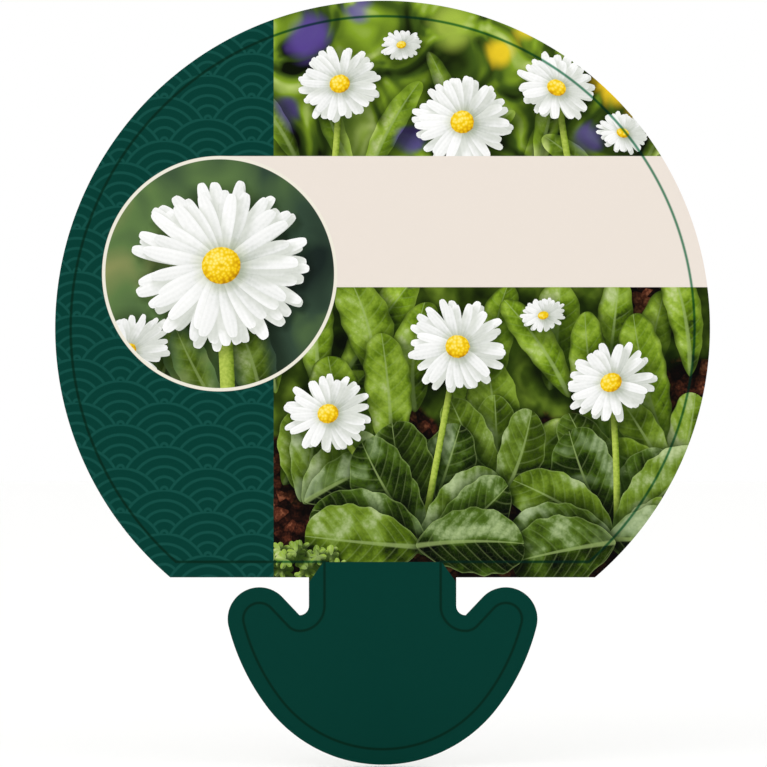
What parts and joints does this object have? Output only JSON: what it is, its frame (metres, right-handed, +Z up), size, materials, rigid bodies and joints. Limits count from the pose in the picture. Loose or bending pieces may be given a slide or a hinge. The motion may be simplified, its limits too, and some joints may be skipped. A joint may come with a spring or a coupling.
{
  "type": "plant label",
  "caption": "Flat die-cut plastic plant label: a round printed head, a short neck and an anchor-shaped foot that clips into a slot in a pot's rim.",
  "frame": {"origin": "middle of the sheet's thickness, on the centre line, where the neck meets the head's straight lower edge: the label hangs there in a pot's rim slot", "axes": "+Z up through the head, -Y out of the printed front, +X to the right of someone who looks at the front"},
  "size_m": [0.084, 0.0006, 0.098],
  "materials": {
    "printed_plastic": "satin printed film, white where the cut edge shows"
  },
  "bodies": {
    "root": {"label_sheet": "printed_plastic"}
  },
  "joints": []
}
